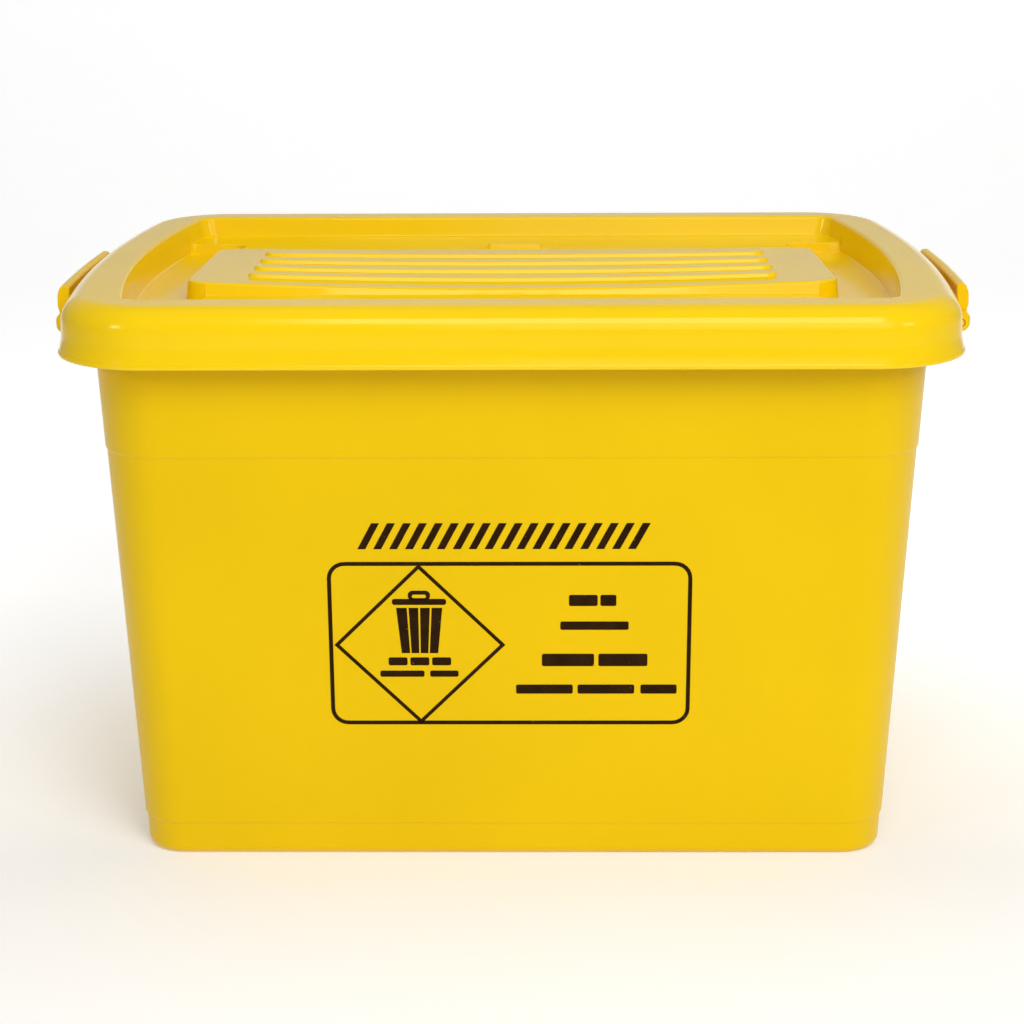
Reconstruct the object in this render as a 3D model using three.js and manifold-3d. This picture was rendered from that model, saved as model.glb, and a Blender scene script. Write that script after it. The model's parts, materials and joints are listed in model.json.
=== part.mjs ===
// Waste transfer box: an injection-moulded tub, a lift-off lid and two swinging end latches.
// Millimetres. X runs along the long side, Y from front to back, Z up.
// The origin is at the middle of the box's footprint, on the surface it stands on.
import * as THREE from 'three';
import { mergeVertices } from 'three/addons/utils/BufferGeometryUtils.js';
import Module from 'manifold-3d';

const wasm = await Module();
wasm.setup();

// ---- driving dimensions -------------------------------------------------------------------
const HEIGHT = 367;              // floor to the top of the lid's rim
const WALL = 2.6;                // wall of every moulding
const GAP = 0.6;                 // running gap between lid and tub

// lid, all levels measured down from the rim's top
const LID_HALF_X = 272;          // half length at the corners, just above the bottom lip
const LID_HALF_Y = 204;          // half depth
const LID_BOW = 15.5;            // how far each end swells outward at its middle
const LID_CORNER = 53;           // corner radius seen from above
const SKIRT_DEPTH = 36.5;
const LIP_FLARE = 1.3;           // the bottom lip stands this far proud of the skirt
const LIP_HEIGHT = 3.5;
const SHOULDER = 16;             // radius of the edge between skirt and rim
const SKIRT_DRAFT = 1.5;
const RIM_BOW = 16.4;            // swell of the recess's ends

// recess in the lid's top
const RECESS_HALF_X = 236;
const RECESS_HALF_Y = 167.5;
const RECESS_CORNER = 9;
const RECESS_DRAFT = 3.7;        // inward lean of its wall, down to the pockets' floor
const FLOOR_DEPTH = 14;
const POCKET_DEPTH = 21;
const POCKET_INNER_X = 199;      // inner wall of each end pocket
const POCKET_HALF_Y = 129;
const PANEL_DEPTH = 10;          // at the panel's middle
const PANEL_SAG = 3.2;           // the panel's ends stand this much higher than its middle
const PANEL_HALF_X = 212;
const PANEL_HALF_Y = 79;
const PANEL_CORNER = 15;
const RIB_COUNT = 4;
const RIB_PITCH = 31.5;
const RIB_HALF_X = 174;
const RIB_WIDTH = 12;
const RIB_HEIGHT = 2.6;
const PAD = { halfX: 19, y: 108.5, depth: 9, height: 4 };   // small pad behind the panel

// tub
const TUB_TOP_X = 256;           // half sizes just under the lid's skirt
const TUB_TOP_Y = 182.4;
const TUB_BASE_X = 240.5;        // half sizes at the foot
const TUB_BASE_Y = 170;
const TUB_BOW = 4;
const TUB_CORNER = 39;
const TUB_BASE_CORNER = 26;
const FOOT_STEP_Z = 22;          // a small ledge all round, just above the foot
const FOOT_STEP = 0.9;
const BAND_STEP_Z = 269.5;       // a second small ledge below the rim
const BAND_STEP = 0.8;
const FOOT_EDGE = 6;             // rounding of the bottom edge
const RIM_STEP_Z = HEIGHT - 33;  // where the wall widens, hidden under the lid's skirt
const RIM_STEP = 5;
const FLANGE_CLEAR = 1.8;        // flange to the inside of the lid's skirt
const FLANGE_DROP = 24;          // how far the flange's edge turns down

// latches
const LATCH_LENGTH = 142;
const PIVOT = { x: 292, down: 34 };
const KNUCKLE = 5.6;
const LUG_RISE = 2.5;            // the lugs' round outer edge is drawn out upward by this
const STUB = { radius: 2.4, length: 3.6 };
const STUB_HOLE = 2.75;
const LUG_THICK = 4;
const LUG_GAP = 0.8;
const LATCH_OUTER = 298.5;
const LATCH_TOP_DOWN = 9;
const NOTCH_UP = 25;             // top of the cut-out in the lid's skirt, below the rim's top
const NOTCH_MARGIN = 3;

const COLOURS = { lid: 0xf6d00f, tub: 0xf0c60c, latch: 0xf3c90e };

// ---- solids -------------------------------------------------------------------------------
function toSolid(geometry) {
  const bare = geometry.clone();
  bare.deleteAttribute('normal');
  bare.deleteAttribute('uv');
  const merged = mergeVertices(bare, 1e-4);
  return new wasm.Manifold(new wasm.Mesh({
    numProp: 3,
    vertProperties: new Float32Array(merged.attributes.position.array),
    triVerts: new Uint32Array(merged.index.array),
  }));
}

function toGeometry(solid) {
  const mesh = solid.getMesh();
  const geometry = new THREE.BufferGeometry();
  const vertices = new Float32Array(mesh.vertProperties);
  geometry.setAttribute('position', new THREE.BufferAttribute(vertices, 3));
  geometry.setIndex(new THREE.BufferAttribute(new Uint32Array(mesh.triVerts), 1));
  geometry.computeVertexNormals();
  return geometry;
}

// A rounded rectangle seen from above, its two ends swollen outward by `bow`.
// Every outline has the same number of points, so that outlines can be lofted.
const CORNER_STEPS = 6;
const END_STEPS = 8;
function outline(halfX, halfY, radius, bow) {
  const points = [];
  const corner = (sx, sy, from) => {
    for (let i = 0; i <= CORNER_STEPS; i++) {
      const a = from + (Math.PI / 2) * (i / CORNER_STEPS);
      points.push([
        sx * (halfX - radius) + radius * Math.cos(a),
        sy * (halfY - radius) + radius * Math.sin(a),
      ]);
    }
  };
  const end = (side) => {
    for (let i = 1; i < END_STEPS; i++) {
      points.push([side * halfX, side * (halfY - radius) * (2 * i / END_STEPS - 1)]);
    }
  };
  end(1);
  corner(1, 1, 0);
  corner(-1, 1, Math.PI / 2);
  end(-1);
  corner(-1, -1, Math.PI);
  corner(1, -1, 1.5 * Math.PI);
  return points.map(([x, y]) => {
    const swell = 1 + (bow / halfX) * (1 - (y / halfY) ** 2);
    return new THREE.Vector2(x * swell, y);
  });
}

// A closed solid through a stack of outlines: levels are { z, plan }.
function loft(levels) {
  const base = levels[0].plan;
  const nearest = (x, y) => {
    let best = 0;
    const gap = (i) => Math.hypot(base[i].x - x, base[i].y - y);
    for (let i = 1; i < base.length; i++) {
      if (gap(i) < gap(best)) best = i;
    }
    return best;
  };
  const steps = levels.length - 1;
  const options = { depth: steps, steps, bevelEnabled: false };
  const geometry = new THREE.ExtrudeGeometry(new THREE.Shape(base), options);
  const position = geometry.attributes.position;
  for (let v = 0; v < position.count; v++) {
    const level = levels[Math.round(position.getZ(v))];
    const point = level.plan[nearest(position.getX(v), position.getY(v))];
    position.setXYZ(v, point.x, point.y, level.z);
  }
  return toSolid(geometry);
}

function box(x0, x1, y0, y1, z0, z1) {
  const geometry = new THREE.BoxGeometry(x1 - x0, y1 - y0, z1 - z0);
  geometry.translate((x0 + x1) / 2, (y0 + y1) / 2, (z0 + z1) / 2);
  return toSolid(geometry);
}

// A rod or plate along Y from a profile drawn in X and Z.
function alongY(shape, y0, y1) {
  const options = { depth: y1 - y0, bevelEnabled: false, curveSegments: 6 };
  const geometry = new THREE.ExtrudeGeometry(shape, options);
  geometry.rotateX(Math.PI / 2);
  geometry.translate(0, y1, 0);
  return toSolid(geometry);
}

function rodAlongY(x, z, radius, y0, y1) {
  const geometry = new THREE.CylinderGeometry(radius, radius, y1 - y0, 20);
  geometry.translate(x, (y0 + y1) / 2, z);
  return toSolid(geometry);
}

// ---- lid ----------------------------------------------------------------------------------
// The lid's outside, or with inset > 0 the space inside its wall.
function lidBody(inset, top) {
  const level = (grow, down) => {
    const d = grow - inset;
    return { z: HEIGHT - down, plan: outline(LID_HALF_X + d, LID_HALF_Y + d, LID_CORNER + d, LID_BOW) };
  };
  const levels = [];
  if (inset > 0) {
    levels.push(level(0, SKIRT_DEPTH + 5));
  } else {
    levels.push(level(LIP_FLARE, SKIRT_DEPTH));
    levels.push(level(LIP_FLARE, SKIRT_DEPTH - 2));
  }
  levels.push(level(0, SKIRT_DEPTH - LIP_HEIGHT));
  const radius = SHOULDER - inset;
  const arcSteps = 6;
  for (let i = 0; i <= arcSteps; i++) {
    const a = (Math.PI / 2) * (i / arcSteps);
    levels.push(level(-SKIRT_DRAFT - radius * (1 - Math.cos(a)), top + radius * (1 - Math.sin(a))));
  }
  return loft(levels);
}

// The recess cut into the lid's top, or with grow > 0 the block that its walls stand in.
function recess(grow, headroom) {
  const floor = HEIGHT - FLOOR_DEPTH - grow;
  const pocketFloor = HEIGHT - POCKET_DEPTH - grow;
  const side = (z) => {
    const t = (HEIGHT - z) / POCKET_DEPTH;
    const d = grow - RECESS_DRAFT * t;
    return { z, plan: outline(RECESS_HALF_X + d, RECESS_HALF_Y + d, RECESS_CORNER + grow, RIM_BOW) };
  };
  const top = HEIGHT + headroom;
  let solid = loft([side(floor), side(top)]);
  const deep = loft([side(pocketFloor), side(top)]);
  for (const s of [-1, 1]) {
    const x0 = s * (POCKET_INNER_X - grow);
    const x1 = s * 300;
    const y = POCKET_HALF_Y + grow;
    const cut = box(Math.min(x0, x1), Math.max(x0, x1), -y, y, pocketFloor - 1, floor + 1);
    solid = solid.add(deep.intersect(cut));
  }
  return solid;
}

// Everything below the panel's top, which is an arc along X, lowest in its middle.
function underArc(depth) {
  const reach = PANEL_HALF_X + 20;
  const radius = (PANEL_HALF_X ** 2) / (2 * PANEL_SAG);
  const shape = new THREE.Shape();
  const bottom = HEIGHT - POCKET_DEPTH - 20;
  const arcSteps = 14;
  shape.moveTo(-reach, bottom);
  shape.lineTo(reach, bottom);
  for (let i = 0; i <= arcSteps; i++) {
    const x = reach * (1 - 2 * i / arcSteps);
    shape.lineTo(x, HEIGHT - depth + radius - Math.sqrt(radius ** 2 - x ** 2));
  }
  return alongY(shape, -RECESS_HALF_Y, RECESS_HALF_Y);
}

// The raised panel, or with inset > 0 the space under it.
function panel(inset) {
  const edge = 1.5;
  const plan = (grow) => {
    const d = grow - inset;
    return outline(PANEL_HALF_X + d, PANEL_HALF_Y + d, PANEL_CORNER - inset / 2, 0);
  };
  const low = HEIGHT - POCKET_DEPTH - WALL / 2 - inset * 2;
  const high = HEIGHT - PANEL_DEPTH + 2 * PANEL_SAG;
  const block = loft([{ z: low, plan: plan(edge) }, { z: high, plan: plan(-edge) }]);
  return block.intersect(underArc(PANEL_DEPTH + inset));
}

function ribs() {
  let all = null;
  for (let i = 0; i < RIB_COUNT; i++) {
    const y = (i - (RIB_COUNT - 1) / 2) * RIB_PITCH;
    const shape = new THREE.Shape();
    const h = RIB_WIDTH / 2;
    shape.moveTo(-RIB_HALF_X + h, -h);
    shape.lineTo(RIB_HALF_X - h, -h);
    shape.absarc(RIB_HALF_X - h, 0, h, -Math.PI / 2, Math.PI / 2, false);
    shape.lineTo(-RIB_HALF_X + h, h);
    shape.absarc(-RIB_HALF_X + h, 0, h, Math.PI / 2, 1.5 * Math.PI, false);
    const depth = RIB_HEIGHT + PANEL_SAG + 1;
    const geometry = new THREE.ExtrudeGeometry(shape, { depth, bevelEnabled: false, curveSegments: 6 });
    geometry.translate(0, y, HEIGHT - PANEL_DEPTH - 1);
    const rib = toSolid(geometry);
    all = all ? all.add(rib) : rib;
  }
  return all.intersect(underArc(PANEL_DEPTH - RIB_HEIGHT));
}

function makeLid() {
  let lid = lidBody(0, 0);
  lid = lid.subtract(recess(0, 5).subtract(panel(0)));
  const hollow = lidBody(WALL, WALL);
  const plug = recess(WALL, -WALL + 0.5);
  lid = lid.subtract(hollow.subtract(plug));
  lid = lid.subtract(panel(WALL));
  lid = lid.add(ribs());
  lid = lid.add(box(-PAD.halfX, PAD.halfX, PAD.y - PAD.depth / 2, PAD.y + PAD.depth / 2,
    HEIGHT - FLOOR_DEPTH - 1, HEIGHT - FLOOR_DEPTH + PAD.height));
  const half = LATCH_LENGTH / 2 + LUG_GAP + LUG_THICK + NOTCH_MARGIN;
  for (const s of [-1, 1]) {
    const x0 = s * (LID_HALF_X - 20);
    const x1 = s * (LID_HALF_X + 30);
    const bottom = HEIGHT - SKIRT_DEPTH - 5;
    const notch = box(Math.min(x0, x1), Math.max(x0, x1), -half, half, bottom, HEIGHT - NOTCH_UP);
    lid = lid.subtract(notch);
  }
  return lid;
}

// ---- tub ----------------------------------------------------------------------------------
function tubLevel(z, grow) {
  const t = z / (HEIGHT - SKIRT_DEPTH);
  const halfX = THREE.MathUtils.lerp(TUB_BASE_X, TUB_TOP_X, t) + grow;
  const halfY = THREE.MathUtils.lerp(TUB_BASE_Y, TUB_TOP_Y, t) + grow;
  const radius = THREE.MathUtils.lerp(TUB_BASE_CORNER, TUB_CORNER, t) + grow;
  return { z, plan: outline(halfX, halfY, radius, TUB_BOW) };
}

function tubBody(inset, floor, top) {
  const levels = [];
  const edge = Math.max(FOOT_EDGE - inset, 3);
  const steps = 3;
  const foot = -FOOT_STEP - inset;
  for (let i = 0; i <= steps; i++) {
    const a = (Math.PI / 2) * (i / steps);
    levels.push(tubLevel(floor + edge * (1 - Math.cos(a)), foot - edge * (1 - Math.sin(a))));
  }
  levels.push(tubLevel(FOOT_STEP_Z, foot));
  levels.push(tubLevel(FOOT_STEP_Z + 2, -inset));
  levels.push(tubLevel(BAND_STEP_Z, -inset));
  levels.push(tubLevel(BAND_STEP_Z + 2, BAND_STEP - inset));
  levels.push(tubLevel(RIM_STEP_Z + inset, BAND_STEP - inset));
  levels.push(tubLevel(RIM_STEP_Z + 3 + inset, RIM_STEP - inset));
  levels.push(tubLevel(top, RIM_STEP - inset));
  return loft(levels);
}

// The flange under the lid's rim, with its edge turned down inside the lid's skirt.
function flange() {
  const top = HEIGHT - WALL - GAP;
  const out = WALL + FLANGE_CLEAR + SKIRT_DRAFT;
  const plan = (grow) => {
    const d = grow - out;
    return outline(LID_HALF_X + d, LID_HALF_Y + d, LID_CORNER + d, LID_BOW);
  };
  const round = SHOULDER - WALL - FLANGE_CLEAR;
  const shell = (inset, low) => {
    const levels = [{ z: low, plan: plan(-inset) }];
    const arcSteps = 4;
    for (let i = 0; i <= arcSteps; i++) {
      const a = (Math.PI / 2) * (i / arcSteps);
      const r = round - inset;
      levels.push({ z: top - inset - r * (1 - Math.sin(a)), plan: plan(-inset - r * (1 - Math.cos(a))) });
    }
    return loft(levels);
  };
  const low = HEIGHT - FLANGE_DROP - 6;
  return shell(0, low).subtract(shell(WALL, low - 10));
}

// The pair of lugs that carries one latch.
function lugs(side) {
  const px = PIVOT.x;
  const pz = HEIGHT - PIVOT.down;
  const rootX = LID_HALF_X + LID_BOW - 2 * WALL - FLANGE_CLEAR - SKIRT_DRAFT - 1;
  const shape = new THREE.Shape();
  shape.moveTo(rootX, HEIGHT - NOTCH_UP - 1.5);
  shape.lineTo(rootX, pz - KNUCKLE);
  shape.lineTo(px, pz - KNUCKLE);
  shape.absarc(px, pz, KNUCKLE, -Math.PI / 2, 0, false);
  shape.absarc(px, pz + LUG_RISE, KNUCKLE, 0, Math.PI / 3, false);
  shape.lineTo(px - 2, HEIGHT - NOTCH_UP - 1.5);
  let all = null;
  const inner = LATCH_LENGTH / 2 + LUG_GAP;
  for (const y0 of [-inner - LUG_THICK, inner]) {
    const hole = rodAlongY(px, pz, STUB_HOLE, y0 - 1, y0 + LUG_THICK + 1);
    const lug = alongY(shape, y0, y0 + LUG_THICK).subtract(hole);
    all = all ? all.add(lug) : lug;
  }
  return side > 0 ? all : all.mirror([1, 0, 0]);
}

function makeTub() {
  const top = HEIGHT - WALL - GAP;
  let tub = tubBody(0, 0, top - 1).add(flange());
  tub = tub.subtract(tubBody(WALL, WALL + 0.4, top + 10));
  return tub.add(lugs(1)).add(lugs(-1));
}

// ---- latches ------------------------------------------------------------------------------
function makeLatch(side) {
  const px = PIVOT.x;
  const pz = HEIGHT - PIVOT.down;
  const topZ = HEIGHT - LATCH_TOP_DOWN;
  const out = LATCH_OUTER;
  const shape = new THREE.Shape();
  shape.moveTo(px - KNUCKLE, pz);
  shape.absarc(px, pz, KNUCKLE, Math.PI, 2.2 * Math.PI, false);
  shape.quadraticCurveTo(px + 4, pz + 7, px + 5, pz + 9);
  shape.bezierCurveTo(out + 0.4, pz + 12, out + 0.2, pz + 19, out - 1.2, topZ - 3.5);
  shape.quadraticCurveTo(out - 2, topZ, out - 5, topZ);
  shape.quadraticCurveTo(px - 1.8, topZ - 0.2, px - 1.8, topZ - 2.6);
  shape.bezierCurveTo(px - 1.4, pz + 18, px - 0.8, pz + 12, px - 0.8, pz + 9.5);
  shape.quadraticCurveTo(px - KNUCKLE, pz + 7.5, px - KNUCKLE, pz);
  let latch = alongY(shape, -LATCH_LENGTH / 2, LATCH_LENGTH / 2);
  const stubHalf = LATCH_LENGTH / 2 + LUG_GAP + STUB.length;
  latch = latch.add(rodAlongY(px, pz, STUB.radius, -stubHalf, stubHalf));
  return side > 0 ? latch : latch.mirror([1, 0, 0]);
}

// ---- assembly -----------------------------------------------------------------------------
function piece(name, solid, colour, roughness) {
  const material = new THREE.MeshStandardMaterial({ color: colour, roughness, metalness: 0 });
  const mesh = new THREE.Mesh(toGeometry(solid), material);
  mesh.name = name;
  return mesh;
}

const waste_box = new THREE.Group();
waste_box.add(piece('tub', makeTub(), COLOURS.tub, 0.42));
waste_box.add(piece('lid', makeLid(), COLOURS.lid, 0.3));
waste_box.add(piece('latch_left', makeLatch(-1), COLOURS.latch, 0.35));
waste_box.add(piece('latch_right', makeLatch(1), COLOURS.latch, 0.35));

export default waste_box;
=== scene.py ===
"""Yellow waste transfer box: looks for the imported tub, lid and two end latches.

Lengths inside the builders are millimetres in the frame's own axes: X along the box,
Y to the back, Z up from the surface it stands on. as_object() turns them into metres.
"""

import json
import math

import bmesh
import bpy
import numpy as np
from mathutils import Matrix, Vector
from mathutils.geometry import delaunay_2d_cdt


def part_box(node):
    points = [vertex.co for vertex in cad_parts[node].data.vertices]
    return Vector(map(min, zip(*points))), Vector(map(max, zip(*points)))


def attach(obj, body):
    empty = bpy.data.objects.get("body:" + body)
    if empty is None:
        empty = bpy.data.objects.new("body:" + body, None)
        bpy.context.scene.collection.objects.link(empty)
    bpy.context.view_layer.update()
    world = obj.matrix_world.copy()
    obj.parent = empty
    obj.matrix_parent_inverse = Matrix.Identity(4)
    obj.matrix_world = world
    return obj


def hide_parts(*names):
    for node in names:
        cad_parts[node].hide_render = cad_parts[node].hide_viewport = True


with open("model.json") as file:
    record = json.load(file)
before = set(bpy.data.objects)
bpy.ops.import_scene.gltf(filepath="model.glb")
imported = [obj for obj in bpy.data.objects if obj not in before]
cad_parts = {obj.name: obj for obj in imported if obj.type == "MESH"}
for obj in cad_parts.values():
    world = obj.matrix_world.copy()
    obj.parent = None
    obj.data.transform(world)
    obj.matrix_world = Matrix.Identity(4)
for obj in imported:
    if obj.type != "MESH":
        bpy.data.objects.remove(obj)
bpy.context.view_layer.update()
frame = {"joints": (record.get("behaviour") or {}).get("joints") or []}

MM = 0.001
LID_LOW, LID_HIGH = (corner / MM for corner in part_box("lid"))
_, TUB_HIGH = (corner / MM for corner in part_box("tub"))
_, LATCH_HIGH = (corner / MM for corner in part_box("latch_right"))
HINGE = next(j for j in frame["joints"] if j["name"] == "latch_right_swing")
PIVOT_X, _, PIVOT_Z = (value / MM for value in HINGE["pos_m"])

# ---- driving dimensions -------------------------------------------------------------------
WALL = 2.6
RIM = LID_HIGH.z                       # top of the lid's rim

# lid, every depth measured down from the rim
LIP = 1.3                              # the bottom lip stands this far outside the skirt
LID_HALF_Y = LID_HIGH.y - LIP
LID_HALF_X = LID_HALF_Y + 68.0
LID_BOW = 15.5                         # swell of each end
LID_CORNER = 53.0
SKIRT_DEPTH = RIM - LID_LOW.z
SHOULDER = 15.5
SKIRT_DRAFT = 1.4
FLARE_DEPTH = 26.0                     # below this the skirt flares out to its lip
FLARE_HEIGHT = 8.0
FLARE_INSET = 0.9                      # the skirt's inset from the outline where the flare starts
LEVEL_DEPTH = 20.0                     # the skirt's rings are level from here up
BEAD_HEIGHT = 3.2
BEAD = 0.7
BEAD_ROUND = 0.9
BEAD_TOP = ((BEAD_HEIGHT, 0), (2.9, 0.1), (2.5, 0.5), (2.1, BEAD), (1.5, BEAD))   # height, growth

RECESS_HALF_X = LID_HALF_X - 36.0
RECESS_HALF_Y = LID_HALF_Y - 36.5
RECESS_BOW = 16.4
RECESS_CORNER = 9.0
RECESS_DRAFT = 3.0 / 17.0              # inward lean of the recess wall for each millimetre down
RECESS_EDGE = 2.0                      # rounding of the rim's inner edge
RECESS_FOOT = 1.2                      # rounding at the foot of the recess wall
FLOOR_DEPTH = 14.0
POCKET_DEPTH = 21.0
POCKET_INNER_X = RECESS_HALF_X - 37.0
POCKET_HALF_Y = RECESS_HALF_Y - 38.5
POCKET_CORNER = 9.0
POCKET_REACH = 80.0                    # half length of a pocket's outline, out past the recess wall
PANEL_HALF_X = RECESS_HALF_X - 24.0
PANEL_HALF_Y = RECESS_HALF_Y - 88.5
PANEL_CORNER = 15.0
PANEL_DEPTH = 10.0
PANEL_SAG = 3.2                        # the panel's ends stand this much above its middle
SAG_CHANGE = 1.8                       # more so along its front edge, and less along its back
RIB_COUNT = 4
RIB_PITCH = 31.5
RIB_HALF_X = PANEL_HALF_X - 38.0
RIB_HALF_WIDTH = 6.5
RIB_HEIGHT = 2.5
PAD_HALF_X = 19.0
PAD_HALF_Y = 4.5
PAD_Y = PANEL_HALF_Y + 29.5
PAD_HEIGHT = 3.6
PAD_CORNER = 2.0

# tub
TUB_BASE_Y = 170.0
TUB_TOP_Y = 182.4
TUB_BASE_X = TUB_BASE_Y + 70.5
TUB_TOP_X = TUB_TOP_Y + 73.6
TUB_BOW = 4.0
TUB_BASE_CORNER = 26.0
TUB_TOP_CORNER = 39.0
TUB_TOP_Z = RIM - SKIRT_DEPTH
BASE_HOLLOW = ((1.4, -16.0), (1.2, -15.0), (0.2, -13.6), (0, -13.0))   # height, growth
FOOT_EDGE = 6.0
FOOT_STEP_Z = 22.0
FOOT_STEP = 0.9
BAND_STEP_Z = 269.5
BAND_STEP = 0.8
RIM_STEP_Z = RIM - 33.0
RIM_STEP = 5.0
LEDGE_START = 0.35                     # a ledge's first bend is this far above its lower edge
INNER_FLOOR = 4.0
INNER_EDGE = 5.0                       # rounding between the inside's floor and walls
FLANGE_TOP = TUB_HIGH.z
FLANGE_LIP_Z = RIM - 30.0
FLANGE_INSET = 5.9                     # flange outline inside the lid's

# latches and their lugs
LATCH_HALF = LATCH_HIGH.y - 4.4        # half length without the hinge stubs
KNUCKLE = 5.6
LATCH_BOW = 1.5                        # the bar's ends curve in toward the lid by this
LUG_RISE = 2.5                         # the lugs' round outer edge is drawn out upward by this
STUB_RADIUS = 2.4
STUB_HOLE = 2.75
LUG_GAP = 0.8
LUG_THICK = 4.0
LUG_EDGE = 0.35                        # bevel of the lugs' outer edges
LATCH_EDGE = 0.9                       # rounding round the bar's end faces
BOW_RISE = 9.0                         # the bar's bow grows over this height above the knuckle
NOTCH_DEPTH = 25.0                     # top of the cut-out in the lid's skirt
NOTCH_HALF = LATCH_HALF + LUG_GAP + LUG_THICK + 3.0
NOTCH_CORNER = 4.0

# steps along each part of an outline
END_STEPS = 200
CORNER_STEPS = 22
SIDE_STEPS = 44


# ---- mesh helpers -------------------------------------------------------------------------
def outline(half_x, half_y, radius, bow, end_y=None):
    """A rounded rectangle from above, both ends swollen by bow: an array of X, Y points.

    Every outline has the same points in the same order, so that outlines can be lofted.
    end_y gives the heights along the ends' own Y where they aren't evenly spread.
    """
    straight = half_y - radius
    if end_y is None:
        end_y = np.linspace(-straight, straight, END_STEPS + 1)
    turn = np.linspace(0, math.pi / 2, CORNER_STEPS + 1)[1:-1]
    side_x = np.linspace(half_x - radius, radius - half_x, SIDE_STEPS + 1)

    def corner(sx, sy, start):
        a = start + turn
        return np.stack([sx * (half_x - radius) + radius * np.cos(a),
                         sy * straight + radius * np.sin(a)], 1)

    parts = [
        np.stack([np.full(len(end_y), half_x), end_y], 1),
        corner(1, 1, 0),
        np.stack([side_x, np.full(len(side_x), half_y)], 1),
        corner(-1, 1, math.pi / 2),
        np.stack([np.full(len(end_y), -half_x), -end_y], 1),
        corner(-1, -1, math.pi),
        np.stack([-side_x, np.full(len(side_x), -half_y)], 1),
        corner(1, -1, 1.5 * math.pi),
    ]
    plan = np.concatenate(parts)
    plan[:, 0] *= 1 + bow / half_x * (1 - (plan[:, 1] / half_y) ** 2)
    return plan


def at(plan, z):
    """The plan's points at height z, which is one number or one for each point."""
    return np.column_stack([plan, np.broadcast_to(z, len(plan))])


def skin(rings, cap_first=False, cap_last=False):
    """Points and faces of a skin through rings of the same number of points."""
    count = len(rings[0])
    points = np.concatenate(rings)
    faces = []
    for r in range(len(rings) - 1):
        low, high = r * count, (r + 1) * count
        for i in range(count):
            j = (i + 1) % count
            faces.append((low + i, low + j, high + j, high + i))
    if cap_first:
        faces.append(tuple(range(count - 1, -1, -1)))
    if cap_last:
        faces.append(tuple(range(len(points) - count, len(points))))
    return points, faces


def as_object(name, parts, material, angle=30):
    """One smooth-shaded object, in metres, from parts of points and faces in millimetres."""
    points, faces = [], []
    for part_points, part_faces in parts:
        base = len(points)
        points.extend(tuple(float(c) * MM for c in p) for p in part_points)
        faces.extend(tuple(base + i for i in face) for face in part_faces)
    mesh = bpy.data.meshes.new(name)
    mesh.from_pydata(points, [], faces)
    work = bmesh.new()
    work.from_mesh(mesh)
    bmesh.ops.remove_doubles(work, verts=work.verts, dist=0.01 * MM)
    bmesh.ops.dissolve_degenerate(work, edges=work.edges, dist=0.002 * MM)
    bmesh.ops.recalc_face_normals(work, faces=work.faces)
    work.to_mesh(mesh)
    work.free()
    piece = bpy.data.objects.new(name, mesh)
    bpy.context.scene.collection.objects.link(piece)
    mesh.materials.append(material)
    mesh.shade_smooth()
    mesh.set_sharp_from_angle(angle=math.radians(angle))
    weighted = piece.modifiers.new("even shading", "WEIGHTED_NORMAL")
    weighted.keep_sharp = True
    return piece


def arc(steps, start=0.0, stop=90.0):
    """Angles in radians from start to stop, in degrees."""
    return np.radians(np.linspace(start, stop, steps + 1))


# ---- lid ----------------------------------------------------------------------------------
def lid_plan(grow, end_y=None):
    """The lid's driving outline, grown all round."""
    return outline(LID_HALF_X + grow, LID_HALF_Y + grow, LID_CORNER + grow, LID_BOW, end_y)


def recess_plan(grow, corner_grow=0.0):
    """The recess's outline at the rim, grown all round."""
    corner = RECESS_CORNER + corner_grow
    return outline(RECESS_HALF_X + grow, RECESS_HALF_Y + grow, corner, RECESS_BOW)


def rounded_box_distance(x, y, half_x, half_y, corner):
    """Distance outside a rounded rectangle, negative inside it."""
    dx = np.abs(x) - (half_x - corner)
    dy = np.abs(y) - (half_y - corner)
    outside = np.hypot(np.maximum(dx, 0), np.maximum(dy, 0))
    return outside + np.minimum(np.maximum(dx, dy), 0) - corner


class Flank:
    """Side of a raised or sunken feature: a rounded top edge, a steep wall and a small foot."""

    STEEP = math.radians(68)           # the rounded edge turns down by this angle
    FOOT = 0.6                         # width of the soft foot outside the wall
    BEND = 0.25                        # where the foot bends, outside the wall

    def __init__(self, rounding, width):
        turn = np.linspace(0, self.STEEP, 5)
        self.arc_out = -rounding + rounding * np.sin(turn)
        self.arc_drop = rounding * (1 - np.cos(turn))
        self.foot = [width, width + self.BEND, width + self.FOOT]
        self.offsets = list(self.arc_out) + self.foot

    def drop(self, distance, height):
        """How far the surface lies below the feature's top."""
        top = np.interp(distance, self.arc_out, self.arc_drop)
        share = np.interp(distance, [self.arc_out[-1]] + self.foot, [0, 0.9, 0.97, 1])
        return top + (height - self.arc_drop[-1]) * share


PANEL_FLANK = Flank(2.4, 1.3)
RIB_FLANK = Flank(0.9, 1.0)
PAD_FLANK = Flank(0.9, 0.7)
POCKET_FLANK = Flank(0.8, 0.6)


def pocket_distance(x, y):
    """Distance inside the end pockets' outline, counted outward into the pocket."""
    middle = POCKET_INNER_X + POCKET_REACH
    return -rounded_box_distance(np.abs(x) - middle, y, POCKET_REACH, POCKET_HALF_Y, POCKET_CORNER)


def floor_depth(x, y):
    """Depth of the recess's floor with its end pockets."""
    return FLOOR_DEPTH + POCKET_FLANK.drop(pocket_distance(x, y), POCKET_DEPTH - FLOOR_DEPTH)


def rib_lines():
    """The Y of each rib."""
    return [(i - (RIB_COUNT - 1) / 2) * RIB_PITCH for i in range(RIB_COUNT)]


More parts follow.
